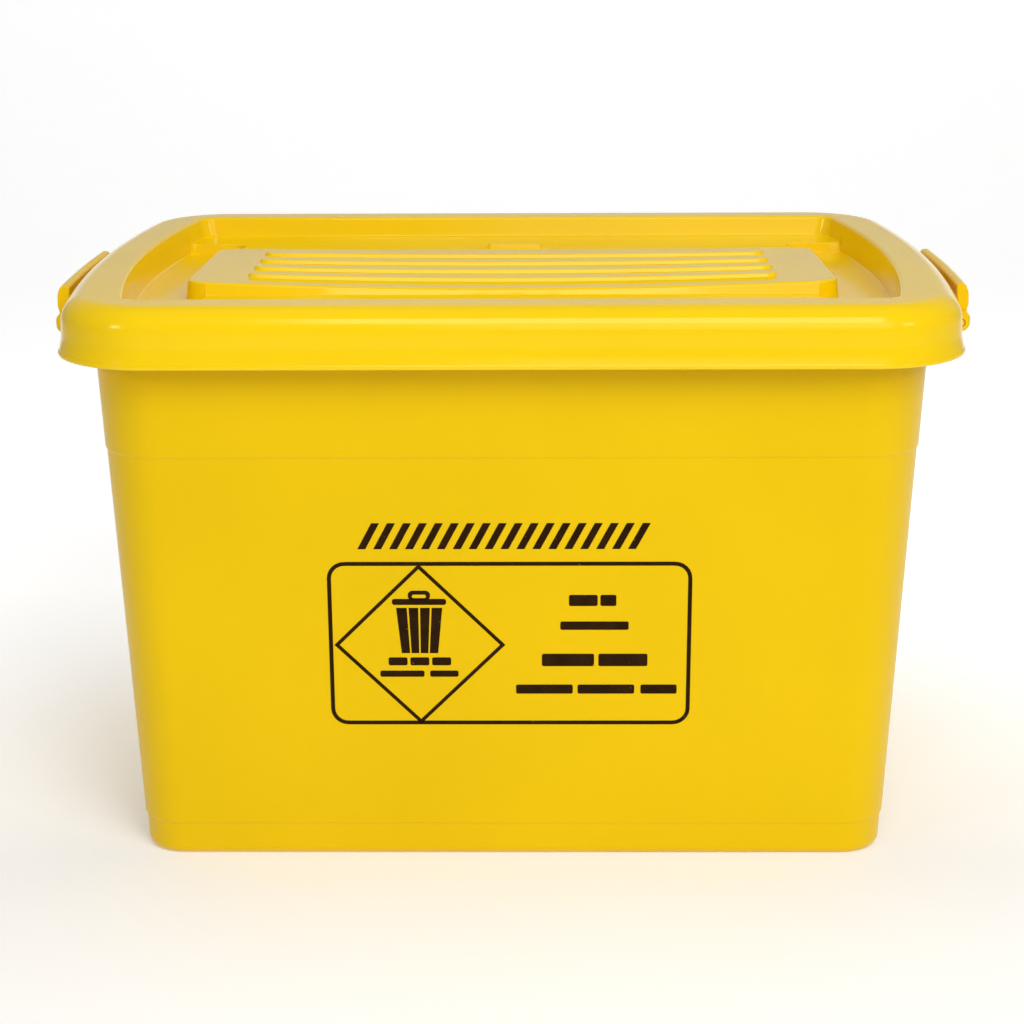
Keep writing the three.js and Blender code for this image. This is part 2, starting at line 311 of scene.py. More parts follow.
def recess_depth(x, y):
    """Depth of the recess's whole inside: floors, pockets, panel, ribs and pad."""
    floor = floor_depth(x, y)
    sag = PANEL_SAG - SAG_CHANGE * y / PANEL_HALF_Y
    top = PANEL_DEPTH - sag * (x / PANEL_HALF_X) ** 2
    d = rounded_box_distance(x, y, PANEL_HALF_X, PANEL_HALF_Y, PANEL_CORNER)
    depth = top + PANEL_FLANK.drop(d, floor - top)
    for line in rib_lines():
        d = rounded_box_distance(x, y - line, RIB_HALF_X, RIB_HALF_WIDTH, RIB_HALF_WIDTH)
        depth = depth - (RIB_HEIGHT - RIB_FLANK.drop(d, RIB_HEIGHT))
    d = rounded_box_distance(x, y - PAD_Y, PAD_HALF_X, PAD_HALF_Y, PAD_CORNER)
    return depth - (PAD_HEIGHT - PAD_FLANK.drop(d, PAD_HEIGHT))


def contour(half_x, half_y, corner, grow, centre=(0.0, 0.0), spacing=8.0):
    """A rounded rectangle grown by an offset, its straight sides cut into short steps."""
    radius = max(corner + grow, 0.2)
    hx, hy = half_x + grow - radius, half_y + grow - radius
    points = []
    turns = 8 if radius > 3 else 4
    corners = [(hx, hy, 0), (-hx, hy, 90), (-hx, -hy, 180), (hx, -hy, 270)]
    for cx, cy, start in corners:
        for a in arc(turns, start, start + 90):
            points.append((cx + radius * math.cos(a), cy + radius * math.sin(a)))
    loop = []
    for (x0, y0), (x1, y1) in zip(points, points[1:] + points[:1]):
        steps = max(1, round(math.hypot(x1 - x0, y1 - y0) / spacing))
        for s in range(steps):
            x = centre[0] + x0 + (x1 - x0) * s / steps
            y = centre[1] + y0 + (y1 - y0) * s / steps
            loop.append((x, y))
    return np.array(loop)


def recess_contours():
    """Lines that the recess's triangles have to follow, so that every edge is crisp."""
    lines = []
    for grow in PANEL_FLANK.offsets:
        lines.append(contour(PANEL_HALF_X, PANEL_HALF_Y, PANEL_CORNER, grow))
    for line in rib_lines():
        for grow in RIB_FLANK.offsets:
            lines.append(contour(RIB_HALF_X, RIB_HALF_WIDTH, RIB_HALF_WIDTH, grow, (0, line)))
    for grow in PAD_FLANK.offsets:
        lines.append(contour(PAD_HALF_X, PAD_HALF_Y, PAD_CORNER, grow, (0, PAD_Y)))
    for side in (-1, 1):
        middle = side * (POCKET_INNER_X + POCKET_REACH)
        for into in POCKET_FLANK.offsets:
            lines.append(contour(POCKET_REACH, POCKET_HALF_Y, POCKET_CORNER, -into, (middle, 0)))
    return lines


def inside(plan, points, margin):
    """Which points lie inside the swollen rectangle of the recess's foot by a margin."""
    half_x = plan[:, 0].max() - RECESS_BOW - margin
    half_y = plan[:, 1].max() - margin
    x = points[:, 0] / (1 + RECESS_BOW / half_x * np.clip(1 - (points[:, 1] / half_y) ** 2, 0, 1))
    return rounded_box_distance(x, points[:, 1], half_x, half_y, RECESS_CORNER) < 0


def recess_floor(ring):
    """Top and underside of the recess's floor, meeting the wall at the given ring."""
    plan = ring[:, :2]
    points = [tuple(p) for p in plan]
    edges = [(i, (i + 1) % len(plan)) for i in range(len(plan))]
    line_margin, grid_margin = 0.8, 4.0
    for line in recess_contours():
        keep = inside(plan, line, line_margin)
        base = len(points)
        index = {}
        for i in np.flatnonzero(keep):
            index[i] = base + len(index)
            points.append(tuple(line[i]))
        for i in index:
            j = (i + 1) % len(line)
            if j in index:
                edges.append((index[i], index[j]))
    grid_step = 12.0
    shift_x, shift_y = 3.0, 2.0        # move the filling grid off the middle lines
    across = np.arange(-20, 21) * grid_step + shift_x
    deep = np.arange(-14, 15) * grid_step + shift_y
    grid = np.array([(x, y) for x in across for y in deep])
    points.extend(tuple(p) for p in grid[inside(plan, grid, grid_margin)])
    inner_only, tolerance = 1, 1e-4
    made = delaunay_2d_cdt([Vector(p) for p in points], edges, [], inner_only, tolerance)
    flat = np.array([tuple(v) for v in made[0]])
    depth = recess_depth(flat[:, 0], flat[:, 1])
    triangles = [tuple(face) for face in made[2]]
    top = at(flat, RIM - depth)
    under = at(flat, RIM - depth - WALL)
    return [(top, triangles), (under, [face[::-1] for face in triangles])]


def notch_path(into):
    """The skirt's bottom edge along one end: Y and lift above the lip, moved into the skirt."""
    straight = LID_HALF_Y - LID_CORNER
    r = NOTCH_CORNER
    lift = SKIRT_DEPTH - NOTCH_DEPTH
    quarter = r * math.pi / 2
    lengths = [NOTCH_HALF - r, quarter, lift - 2 * r, quarter, straight - NOTCH_HALF - r]
    marks = np.concatenate([[0], np.cumsum(lengths)])
    s = np.linspace(0, marks[-1], END_STEPS // 2 + 1)
    y = np.zeros_like(s)
    up = np.zeros_like(s)
    for i, value in enumerate(s):
        part = min(int(np.searchsorted(marks, value, side="right")) - 1, 4)
        t = value - marks[part]
        if part == 0:
            y[i], up[i] = t, lift + into
        elif part == 1:
            a = math.pi / 2 - t / r
            y[i] = NOTCH_HALF - r + (r + into) * math.cos(a)
            up[i] = lift - r + (r + into) * math.sin(a)
        elif part == 2:
            y[i], up[i] = NOTCH_HALF + into, lift - r - t
        elif part == 3:
            a = math.pi + t / r
            y[i] = NOTCH_HALF + r + (r - into) * math.cos(a)
            up[i] = r + (r - into) * math.sin(a)
        else:
            y[i], up[i] = NOTCH_HALF + r + t, into
    return np.concatenate([-y[:0:-1], y]), np.concatenate([up[:0:-1], up])


def skirt_offset(depth):
    """How far the skirt stands outside the lid's driving outline, by depth."""
    upper = np.interp(depth, [SHOULDER, FLARE_DEPTH], [-SKIRT_DRAFT, -FLARE_INSET])
    t = np.clip((depth - FLARE_DEPTH) / FLARE_HEIGHT, 0, 1)
    return upper + (LIP - BEAD + FLARE_INSET) * t * t * (3 - 2 * t)


def skirt_ring(into, grow, blend=1.0):
    """A ring near the skirt's bottom edge, `into` above the edge, which steps up at the notches.

    With blend under 1 the ring lies part of the way to the level ring at LEVEL_DEPTH.
    """
    edge_y, edge_up = notch_path(into)
    straight = LID_HALF_Y - LID_CORNER
    level_y = np.linspace(-straight, straight, END_STEPS + 1)
    end_y = level_y + (edge_y - level_y) * blend
    plan = lid_plan(0, end_y)
    outward = lid_plan(1, end_y) - plan
    depth = np.full(len(plan), SKIRT_DEPTH - into)
    ends = len(end_y)
    left = ends + 2 * (CORNER_STEPS - 1) + SIDE_STEPS + 1
    depth[:ends] = SKIRT_DEPTH - edge_up
    depth[left:left + ends] = (SKIRT_DEPTH - edge_up)[::-1]
    depth = LEVEL_DEPTH + (depth - LEVEL_DEPTH) * blend
    offset = skirt_offset(depth) + grow
    return at(plan + outward * offset[:, None], RIM - depth)


def recess_wall_rings(floor):
    """From the recess's floor up its wall and over the rim's inner edge."""
    rings = []
    for a in arc(3):
        plan = recess_plan(-RECESS_DRAFT * FLOOR_DEPTH - RECESS_FOOT * (1 - math.sin(a)))
        rings.append(at(plan, RIM - floor + RECESS_FOOT * (1 - math.cos(a))))
    middle = (FLOOR_DEPTH + RECESS_EDGE) / 2
    rings.append(at(recess_plan(-RECESS_DRAFT * middle), RIM - middle))
    for a in arc(6):
        grow = RECESS_EDGE * (1 - math.cos(a))
        down = RECESS_EDGE * (1 - math.sin(a))
        rings.append(at(recess_plan(grow - RECESS_DRAFT * down, grow), RIM - down))
    return rings


def shoulder_rings():
    """Round the lid's outer shoulder, from the rim to the skirt."""
    rings = []
    for a in arc(14, 90, 0):
        plan = lid_plan(-SKIRT_DRAFT - SHOULDER * (1 - math.cos(a)))
        rings.append(at(plan, RIM - SHOULDER * (1 - math.sin(a))))
    return rings


def skirt_rings():
    """Down the skirt's outside, round its bottom bead and up its inside."""
    rings = [skirt_ring(BEAD_HEIGHT, 0, blend) for blend in (0, 0.25, 0.5, 0.75)]
    rings += [skirt_ring(into, grow) for into, grow in BEAD_TOP]
    for a in arc(4, 90, 0):
        grow = BEAD - BEAD_ROUND * (1 - math.sin(a))
        rings.append(skirt_ring(BEAD_ROUND * (1 - math.cos(a)), grow))
    inner = BEAD - WALL
    for into, grow in ((0, inner + 0.5), (0.15, inner + 0.15), (0.5, inner), (BEAD_HEIGHT, -WALL)):
        rings.append(skirt_ring(into, grow))
    rings += [skirt_ring(BEAD_HEIGHT, -WALL, blend) for blend in (0.5, 0)]
    return rings


def underside_rings(floor):
    """Under the shoulder and the rim, and down round the outside of the recess."""
    rings = []
    inner_round = SHOULDER - WALL
    for a in arc(6):
        plan = lid_plan(-SKIRT_DRAFT - WALL - inner_round * (1 - math.cos(a)))
        rings.append(at(plan, RIM - WALL - inner_round * (1 - math.sin(a))))
    rings.append(at(recess_plan(WALL + 1.0, 3.0), RIM - WALL))
    rings.append(at(recess_plan(WALL, 2.0), RIM - WALL - 1.0))
    foot = WALL - RECESS_DRAFT * FLOOR_DEPTH
    rings.append(at(recess_plan(foot, 1.0), RIM - floor - WALL + 2.5))
    rings.append(at(recess_plan(foot - 0.8, 0.5), RIM - floor - WALL + 0.8))
    rings.append(at(recess_plan(foot - 2.5), RIM - floor - WALL))
    return rings


def lid_rings():
    """Every ring of the lid's skin, from the recess's floor over the rim and back under it."""
    base = recess_plan(-RECESS_DRAFT * FLOOR_DEPTH - RECESS_FOOT)
    floor = floor_depth(base[:, 0], base[:, 1])
    wall = recess_wall_rings(floor)
    shoulder = shoulder_rings()
    rim_middle = (wall[-1] + shoulder[0]) / 2
    under = wall[0].copy()
    under[:, 2] -= WALL
    return wall + [rim_middle] + shoulder + skirt_rings() + underside_rings(floor) + [under]


def make_lid(material):
    rings = lid_rings()
    return as_object("lid_moulding", [skin(rings)] + recess_floor(rings[0]), material)


# ---- tub ----------------------------------------------------------------------------------
def tub_ring(z, grow):
    """The tapered tub's outline at height z, grown all round."""
    t = z / TUB_TOP_Z
    half_x = TUB_BASE_X + (TUB_TOP_X - TUB_BASE_X) * t + grow
    half_y = TUB_BASE_Y + (TUB_TOP_Y - TUB_BASE_Y) * t + grow
    corner = TUB_BASE_CORNER + (TUB_TOP_CORNER - TUB_BASE_CORNER) * t + grow
    return at(outline(half_x, half_y, corner, TUB_BOW), z)


def flange_ring(z, grow):
    """The rim flange's outline, which follows the lid's."""
    return at(lid_plan(grow - FLANGE_INSET), z)


def ledge_rings(z, low, high, soft, rise):
    """A small ledge at height z, from the growth low to high, with soft bends."""
    return [tub_ring(z - 1, low), tub_ring(z, low), tub_ring(z + LEDGE_START, low + soft),
            tub_ring(z + 1.1, high - soft), tub_ring(z + rise, high), tub_ring(z + 3, high)]


def outer_wall_rings():
    """From the hollow under the base, round the bottom edge and up the outside."""
    rings = [tub_ring(z, grow) for z, grow in BASE_HOLLOW]
    for a in arc(6):
        grow = -FOOT_STEP - FOOT_EDGE * (1 - math.sin(a))
        rings.append(tub_ring(FOOT_EDGE * (1 - math.cos(a)), grow))
    rings += ledge_rings(FOOT_STEP_Z, -FOOT_STEP, 0, 0.15, 1.6)
    rings += [tub_ring(z, 0) for z in (70.0, 120.0, 170.0, 220.0)]
    rings += ledge_rings(BAND_STEP_Z, 0, BAND_STEP, 0.12, 1.5)
    rings += [tub_ring(RIM_STEP_Z - 1, BAND_STEP), tub_ring(RIM_STEP_Z + 0.5, BAND_STEP + 0.8),
              tub_ring(RIM_STEP_Z + 2.5, RIM_STEP - 0.8), tub_ring(RIM_STEP_Z + 4, RIM_STEP)]
    return rings


def flange_rings():
    """Out under the turned-down rim flange, round its lip and back over its top."""
    under = FLANGE_TOP - WALL
    rings = [tub_ring(under - 3, RIM_STEP), tub_ring(under - 0.9, RIM_STEP + 0.9),
             tub_ring(under, RIM_STEP + 3)]
    rounding = SHOULDER - FLANGE_INSET + SKIRT_DRAFT + 2.0
    inner_round = rounding - WALL
    for a in arc(6, 90, 0):
        grow = -WALL - inner_round * (1 - math.cos(a))
        rings.append(flange_ring(under - inner_round * (1 - math.sin(a)), grow))
    rings += [flange_ring(FLANGE_LIP_Z + 0.5, -WALL), flange_ring(FLANGE_LIP_Z, -WALL + 0.5),
              flange_ring(FLANGE_LIP_Z, -0.5), flange_ring(FLANGE_LIP_Z + 0.5, 0)]
    for a in arc(8):
        grow = -rounding * (1 - math.cos(a))
        rings.append(flange_ring(FLANGE_TOP - rounding * (1 - math.sin(a)), grow))
    return rings


def inner_wall_rings():
    """Down the inside, past the rim's and the band's steps, to the floor."""
    inner = RIM_STEP - WALL
    rings = [tub_ring(FLANGE_TOP, inner + 1.6), tub_ring(FLANGE_TOP - 0.5, inner + 0.5),
             tub_ring(FLANGE_TOP - 1.6, inner), tub_ring(RIM_STEP_Z + 6.5, inner),
             tub_ring(RIM_STEP_Z + 3, BAND_STEP - WALL), tub_ring(BAND_STEP_Z + 4, BAND_STEP - WALL),
             tub_ring(BAND_STEP_Z + 2, -WALL)]
    rings += [tub_ring(z, -WALL) for z in (200.0, 120.0, FOOT_STEP_Z + 4)]
    for a in arc(5, 90, 0):
        grow = -WALL - FOOT_STEP - INNER_EDGE * (1 - math.sin(a))
        rings.append(tub_ring(INNER_FLOOR + INNER_EDGE * (1 - math.cos(a)), grow))
    return rings


def tub_rings():
    """Every ring of the tub's skin, from under its base over the rim to its inner floor."""
    return outer_wall_rings() + flange_rings() + inner_wall_rings()


def lug(side, y0, y1):
    """A hinge lug with the hole that a latch's stub turns in.

    Its outer end is round and drawn out upward; toward the tub it runs into the flange.
    """
    root = LID_HALF_X + LID_BOW - FLANGE_INSET - 2.0
    top = RIM - NOTCH_DEPTH - 1.5
    steps = 48
    outer, hole = [], []
    for i in range(steps):
        a = 2 * math.pi * i / steps
        ca, sa = math.cos(a), math.sin(a)
        level = (top - PIVOT_Z) / sa if sa > 0.01 else KNUCKLE / max(-sa, 0.01)
        reach = KNUCKLE
        if ca < -0.01:
            reach = max(KNUCKLE, min((root - PIVOT_X) / ca, level))
        elif sa > 0 and KNUCKLE * sa < LUG_RISE * ca:
            reach = KNUCKLE / ca
        elif sa > 0:
            reach = min(LUG_RISE * sa + math.sqrt(KNUCKLE ** 2 - (LUG_RISE * ca) ** 2), level)
        outer.append((PIVOT_X + reach * ca, PIVOT_Z + reach * sa))
        hole.append((PIVOT_X + STUB_HOLE * ca, PIVOT_Z + STUB_HOLE * sa))
    outer, hole = np.array(outer), np.array(hole)
    pivot = np.array([PIVOT_X, PIVOT_Z])
    shorter = 1 - LUG_EDGE / np.linalg.norm(outer - pivot, axis=1)
    inner = pivot + (outer - pivot) * shorter[:, None]

    def ring(profile, y):
        return np.column_stack([side * profile[:, 0], np.full(steps, y), profile[:, 1]])

    loop = [ring(hole, y0), ring(inner, y0), ring(outer, y0 + LUG_EDGE), ring(outer, y1 - LUG_EDGE),
            ring(inner, y1), ring(hole, y1), ring(hole, y0)]
    return skin(loop)


def make_tub(material):
    parts = [skin(tub_rings(), cap_first=True, cap_last=True)]
    near = LATCH_HALF + LUG_GAP
    for side in (-1, 1):
        parts.append(lug(side, near, near + LUG_THICK))
        parts.append(lug(side, -near - LUG_THICK, -near))
    return as_object("tub_moulding", parts, material)


# ---- latches ------------------------------------------------------------------------------
def bezier(p0, p1, p2, p3, steps):
    """Points of a cubic curve, without its first."""
    t = np.linspace(0, 1, steps + 1)[1:, None]
    p0, p1, p2, p3 = (np.array(p, float) for p in (p0, p1, p2, p3))
    return (1 - t) ** 3 * p0 + 3 * (1 - t) ** 2 * t * p1 + 3 * (1 - t) * t ** 2 * p2 + t ** 3 * p3


def quadratic(p0, p1, p2, steps):
    """Points of a quadratic curve, without its first."""
    p0, p1, p2 = (np.array(p, float) for p in (p0, p1, p2))
    return bezier(p0, p0 + (p1 - p0) * 2 / 3, p2 + (p1 - p2) * 2 / 3, p2, steps)


def latch_profile():
    """Section of the latch in X and Z: a knuckle, a waist above it and a full grip on top."""
    px, pz = PIVOT_X, PIVOT_Z
    out, top = LATCH_HIGH.x + 0.2, LATCH_HIGH.z
    knuckle = [(px + KNUCKLE * math.cos(a), pz + KNUCKLE * math.sin(a)) for a in arc(18, 180, 396)]
    parts = [np.array(knuckle)]

    def add(curve, *points):
        parts.append(curve(tuple(parts[-1][-1]), *points))

    add(quadratic, (px + 4, pz + 7), (px + 5, pz + 9), 5)
    add(bezier, (out + 0.4, pz + 12), (out + 0.2, pz + 19), (out - 1.2, top - 3.5), 12)
    add(quadratic, (out - 2, top), (out - 5, top), 6)
    add(quadratic, (px - 1.8, top - 0.2), (px - 1.8, top - 2.6), 5)
    add(bezier, (px - 1.4, pz + 18), (px - 0.8, pz + 12), (px - 0.8, pz + 9.5), 10)
    add(quadratic, (px - KNUCKLE, pz + 7.5), (px - KNUCKLE, pz), 6)
    return np.concatenate(parts)[:-1]


def shrink(profile, by):
    """The profile moved inward by a small distance, point by point."""
    def unit(vectors):
        return vectors / np.linalg.norm(vectors, axis=1)[:, None]

    ahead = unit(np.roll(profile, -1, 0) - profile)
    behind = unit(profile - np.roll(profile, 1, 0))
    along = unit(ahead + behind)
    return profile + by * np.column_stack([-along[:, 1], along[:, 0]])


def latch_bar(side):
    """The bar between the hinge stubs, its grip bowed in toward the lid at both ends."""
    profile = latch_profile()

    def ring(y, by):
        points = shrink(profile, by)
        free = np.clip((points[:, 1] - PIVOT_Z - KNUCKLE) / BOW_RISE, 0, 1)
        x = points[:, 0] - LATCH_BOW * (y / LATCH_HALF) ** 2 * free
        return np.column_stack([side * x, np.full(len(points), y), points[:, 1]])

    half = [(LATCH_HALF - LATCH_EDGE * (1 - math.cos(a)), LATCH_EDGE * (1 - math.sin(a)))
            for a in arc(4)]
    stations = [(-y, by) for y, by in half]
    stations += [(y, 0.0) for y in np.linspace(-LATCH_HALF + 6, LATCH_HALF - 6, 22)]
    stations += half[::-1]
    return skin([ring(y, by) for y, by in stations], cap_first=True, cap_last=True)


def latch_stub(side, end):
    """One hinge stub, from inside the knuckle out into its lug."""
    steps = 28
    turn = np.arange(steps) * 2 * math.pi / steps
    tip = LATCH_HIGH.y
    rounding = 0.5
    profile = ((LATCH_HALF - 1, STUB_RADIUS), (LATCH_HALF + 1.5, STUB_RADIUS),
               (tip - rounding, STUB_RADIUS), (tip - 0.15, STUB_RADIUS - 0.15),
               (tip, STUB_RADIUS - rounding))
    rings = []
    for y, radius in profile:
        rings.append(np.column_stack([side * PIVOT_X + radius * np.cos(turn),
                                      np.full(steps, end * y), PIVOT_Z + radius * np.sin(turn)]))
    return skin(rings, cap_first=True, cap_last=True)


def make_latch(name, side, material):
    parts = [latch_bar(side), latch_stub(side, -1), latch_stub(side, 1)]
    return as_object(name, parts, material)


# ---- printed panel ------------------------------------------------------------------------
INK_PROUD = 0.12
FRAME_LEFT, FRAME_RIGHT = -115.2, 113.2
FRAME_LOW, FRAME_HIGH = 92.6, 202.6
FRAME_CORNER = 11.0
LINE = 2.6
DIAMOND = (-57.8, 147.1)
DIAMOND_REACH = 54.0
DIAMOND_LINE = 3.3
STRIPES = 18
STRIPES_LEFT, STRIPES_RIGHT = -95.6, 91.7
STRIPES_LOW, STRIPES_HIGH = 211.0, 228.0
STRIPES_LEAN = 9.0


def on_wall(points, proud):
    """Points given as X and Z, laid on the tub's front wall and raised a little off it."""
    points = np.asarray(points, float)
    z = points[:, 1]
    y = -(TUB_BASE_Y + (TUB_TOP_Y - TUB_BASE_Y) * z / TUB_TOP_Z) - proud
    return np.column_stack([points[:, 0], y, z])


def ink(outer, hole=None):
    """A closed film of ink from an outline, or between an outline and the hole in it."""
    sunk = -0.05
    if hole is None:
        rings = [on_wall(outer, sunk), on_wall(outer, INK_PROUD)]
        return skin(rings, cap_first=True, cap_last=True)
    rings = [on_wall(outer, sunk), on_wall(outer, INK_PROUD), on_wall(hole, INK_PROUD),
             on_wall(hole, sunk), on_wall(outer, sunk)]
    return skin(rings)


def rounded(x0, x1, z0, z1, radius, steps=6):
    """A rectangle with round corners, as points of X and Z."""
    radius = min(radius, (x1 - x0) / 2 - 0.01, (z1 - z0) / 2 - 0.01)
    points = []
    for cx, cz, start in ((x1 - radius, z1 - radius, 0), (x0 + radius, z1 - radius, 90),
                          (x0 + radius, z0 + radius, 180), (x1 - radius, z0 + radius, 270)):
        for a in arc(steps, start, start + 90):
            points.append((cx + radius * math.cos(a), cz + radius * math.sin(a)))
    return points


def bar(centre, low, high, width, radius=1.2):
    """A plain printed bar."""
    return ink(rounded(centre - width / 2, centre + width / 2, low, high, radius))


def print_frame():
    outer = rounded(FRAME_LEFT, FRAME_RIGHT, FRAME_LOW, FRAME_HIGH, FRAME_CORNER)
    inner = rounded(FRAME_LEFT + LINE, FRAME_RIGHT - LINE, FRAME_LOW + LINE, FRAME_HIGH - LINE,
                    FRAME_CORNER - LINE)
    return ink(outer, inner)


def print_diamond():
    cx, cz = DIAMOND

    def square(reach):
        return [(cx + reach, cz), (cx, cz + reach), (cx - reach, cz), (cx, cz - reach)]

    return ink(square(DIAMOND_REACH), square(DIAMOND_REACH - DIAMOND_LINE))


def print_bin_sign():
    """A plain waste-bin sign: lid, handle and a tapered body of four staves."""
    cx = DIAMOND[0]
    low, brim, lid_high = 141.5, 172.0, 178.0
    lid_width = 34.0
    brim_half, foot_half = 14.5, 11.5
    handle_half, hole_half = 7, 4.4
    parts = [bar(cx, brim + 2.0, lid_high, lid_width, 1.5)]
    handle = rounded(cx - handle_half, cx + handle_half, lid_high - 1, lid_high + 5.5, 3)
    handle_hole = rounded(cx - hole_half, cx + hole_half, lid_high + 0.5, lid_high + 2.9, 1)
    parts.append(ink(handle, handle_hole))
    staves = 4
    for i in range(staves):
        left = 2 * (i + (0.08 if i > 0 else 0)) / staves - 1
        right = 2 * (i + (0.92 if i < staves - 1 else 1)) / staves - 1
        parts.append(ink([(cx + right * brim_half, brim), (cx + left * brim_half, brim),
                          (cx + left * foot_half, low), (cx + right * foot_half, low)]))
    return parts


def print_lines():
    """Rows of plain bars, and a row of slanted stripes above the frame.

    Each row gives its lower and upper edge, then the middle and width of each bar.
    """
    parts = []
    for low, high, bars in (
        (133.2, 138.6, ((-71.8, 12.0), (-58.0, 12.0), (-44.2, 12.0))),
        (125.4, 129.6, ((-69.2, 28.0), (-42.6, 18.0))),
        (173.2, 180.6, ((45.2, 18.0), (60.9, 10.0))),
        (157.2, 162.8, ((52.3, 43.0),)),
        (132.6, 141.0, ((35.7, 33.0), (70.4, 31.0))),
        (113.8, 120.0, ((20.8, 36.0), (59.8, 36.0), (93.2, 23.0))),
    ):
        for centre, width in bars:
            parts.append(bar(centre, low, high, width))
    pitch = (STRIPES_RIGHT - STRIPES_LEFT - STRIPES_LEAN) / STRIPES
    for i in range(STRIPES):
        x = STRIPES_LEFT + pitch * i
        top_x = x + STRIPES_LEAN
        width = pitch * 0.5
        parts.append(ink([(top_x + width, STRIPES_HIGH), (top_x, STRIPES_HIGH),
                          (x, STRIPES_LOW), (x + width, STRIPES_LOW)]))
    return parts


def make_print(material):
    parts = [print_frame(), print_diamond()] + print_bin_sign() + print_lines()
    return as_object("front_print", parts, material, angle=20)


# ---- materials ----------------------------------------------------------------------------
class Nodes:
    """A material under construction."""

    def __init__(self, name):
        self.material = bpy.data.materials.new(name)
        self.material.use_nodes = True
        self.tree = self.material.node_tree
        self.shader = self.tree.nodes["Principled BSDF"]
        self.place = self.tree.nodes.new("ShaderNodeTexCoord").outputs["Object"]

    def add(self, kind, **values):
        node = self.tree.nodes.new(kind)
        for key, value in values.items():
            setattr(node, key, value)
        return node

    def link(self, source, target):
        self.tree.links.new(source, target)

    def noise(self, scale, detail=2.0, stretch=None):
        node = self.add("ShaderNodeTexNoise")
        node.inputs["Scale"].default_value = scale
        node.inputs["Detail"].default_value = detail
        source = self.place
        if stretch:
            mapping = self.add("ShaderNodeMapping")
            mapping.inputs["Scale"].default_value = stretch
            self.link(self.place, mapping.inputs["Vector"])
            source = mapping.outputs["Vector"]
        self.link(source, node.inputs["Vector"])
        return node.outputs["Fac"]

    def spread(self, source, low, high, to_low, to_high):
        node = self.add("ShaderNodeMapRange")
        node.inputs["From Min"].default_value = low
        node.inputs["From Max"].default_value = high
        node.inputs["To Min"].default_value = to_low
        node.inputs["To Max"].default_value = to_high
        self.link(source, node.inputs["Value"])
        return node.outputs["Result"]

    def mix(self, factor, first, second):
        node = self.add("ShaderNodeMix", data_type="RGBA")
        self.link(factor, node.inputs["Factor"])
        for value, socket in ((first, node.inputs[6]), (second, node.inputs[7])):
            if isinstance(value, tuple):
                socket.default_value = (*value, 1.0)
            else:
                self.link(value, socket)
        return node.outputs[2]

    def math(self, operation, first, second):
        node = self.add("ShaderNodeMath", operation=operation)
        for value, socket in ((first, node.inputs[0]), (second, node.inputs[1])):
            if isinstance(value, (int, float)):
                socket.default_value = value
            else:
                self.link(value, socket)
        return node.outputs[0]

    def bump(self, height, strength, distance, normal=None):
        node = self.add("ShaderNodeBump")
        node.inputs["Strength"].default_value = strength
        node.inputs["Distance"].default_value = distance
        self.link(height, node.inputs["Height"])
        if normal:
            self.link(normal, node.inputs["Normal"])
        return node.outputs["Normal"]


YELLOW = (0.845, 0.542, 0.002)
LID_YELLOW = (0.935, 0.62, 0.002)
LATCH_YELLOW = (0.92, 0.565, 0.002)


def shade(colour, factor):
    """The colour made darker or lighter, each channel kept at 1 or under."""
    return tuple(min(c * factor, 1.0) for c in colour)


def plastic(name, roughness, grain, orange_peel, colour=YELLOW, glint=0.15):
    """Moulded yellow plastic: faint flow marks, fine grain, handling marks and paler edges.

    grain and orange_peel are bump strengths; glint is the blue share of the specular tint.
    """
    n = Nodes(name)
    clouds = n.spread(n.noise(5.0, 3.0), 0.35, 0.65, 0.0, 1.0)
    tone = n.mix(clouds, shade(colour, 0.965), shade(colour, 1.02))
    edge = n.add("ShaderNodeNewGeometry").outputs["Pointiness"]
    rubbed = n.math("MULTIPLY", n.spread(edge, 0.53, 0.62, 0.0, 0.35), n.noise(60.0, 3.0))
    pale = (min(colour[0] * 1.04, 1.0), colour[1] * 1.12, colour[2] + 0.06)
    n.link(n.mix(rubbed, tone, pale), n.shader.inputs["Base Color"])
    patches = n.spread(n.noise(18.0, 4.0), 0.3, 0.7, roughness - 0.03, roughness + 0.04)
    scuffs = n.spread(n.noise(30.0, 5.0, (1.0, 9.0, 3.0)), 0.62, 0.72, 0.0, 0.07)
    n.link(n.math("ADD", patches, scuffs), n.shader.inputs["Roughness"])
    peel = n.bump(n.noise(140.0, 1.0), orange_peel, 0.0004)
    n.link(n.bump(n.noise(1600.0, 2.0), grain, 0.00012, peel), n.shader.inputs["Normal"])
    n.shader.inputs["IOR"].default_value = 1.49
    n.shader.inputs["Specular Tint"].default_value = (1.0, 0.9, glint, 1.0)
    return n.material


def printed_ink(name):
    """Dark screen-printing ink, a little uneven, with the plastic showing in tiny specks."""
    n = Nodes(name)
    uneven = n.spread(n.noise(90.0, 4.0), 0.3, 0.7, 0.0, 1.0)
    tone = n.mix(uneven, (0.011, 0.004, 0.001), (0.024, 0.009, 0.002))
    specks = n.spread(n.noise(700.0, 3.0), 0.72, 0.76, 0.0, 0.8)
    n.link(n.mix(specks, tone, shade(YELLOW, 0.8)), n.shader.inputs["Base Color"])
    n.link(n.spread(n.noise(220.0, 3.0), 0.3, 0.7, 0.38, 0.55), n.shader.inputs["Roughness"])
    n.link(n.bump(n.noise(1200.0, 2.0), 0.25, 0.00008), n.shader.inputs["Normal"])
    n.shader.inputs["Specular IOR Level"].default_value = 0.15
    n.shader.inputs["Specular Tint"].default_value = (1.0, 0.6, 0.3, 1.0)
    return n.material


